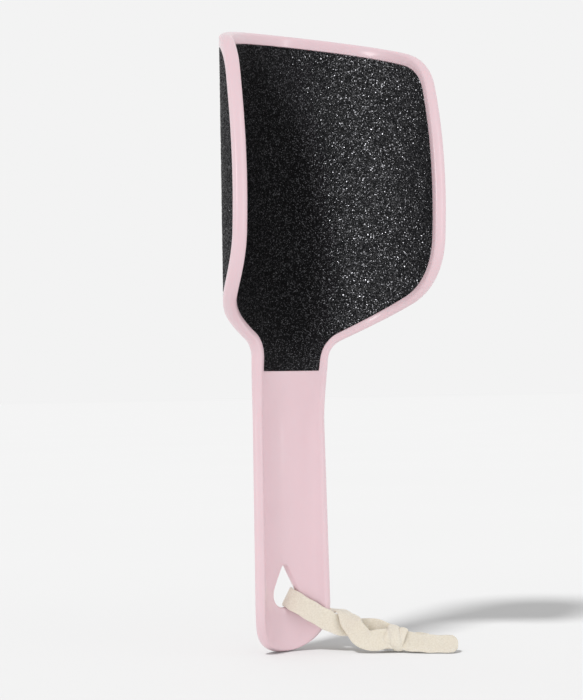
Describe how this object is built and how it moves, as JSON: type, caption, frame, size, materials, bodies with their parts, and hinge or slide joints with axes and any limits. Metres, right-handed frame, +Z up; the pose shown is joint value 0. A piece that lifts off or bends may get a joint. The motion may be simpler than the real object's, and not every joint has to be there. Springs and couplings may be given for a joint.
{
  "type": "foot file",
  "caption": "Plastic foot file with a half-pipe head, abrasive on both faces of the head, a troughed handle and a cotton tape tied through its hang hole.",
  "frame": {"origin": "lowest point of the handle's round end, on the middle surface of the handle", "axes": "+Z up the file from the handle to the head, X across it, the hollow side of the head faces -Y"},
  "size_m": [0.1084, 0.0592, 0.26],
  "materials": {
    "paddle": "satin pale pink moulded plastic",
    "front_abrasive": "black silicon carbide grit on a backing sheet",
    "back_abrasive": "black silicon carbide grit on a backing sheet",
    "adhesive": "thin double-sided adhesive film",
    "tape": "woven cream cotton tape"
  },
  "bodies": {
    "root": {"paddle": "paddle", "front_abrasive_sheet": "front_abrasive", "back_abrasive_sheet": "back_abrasive", "front_adhesive_film": "adhesive", "back_adhesive_film": "adhesive", "tape_loop": "tape", "tape_knot": "tape", "tape_tail_long": "tape", "tape_tail_short": "tape"}
  },
  "joints": []
}
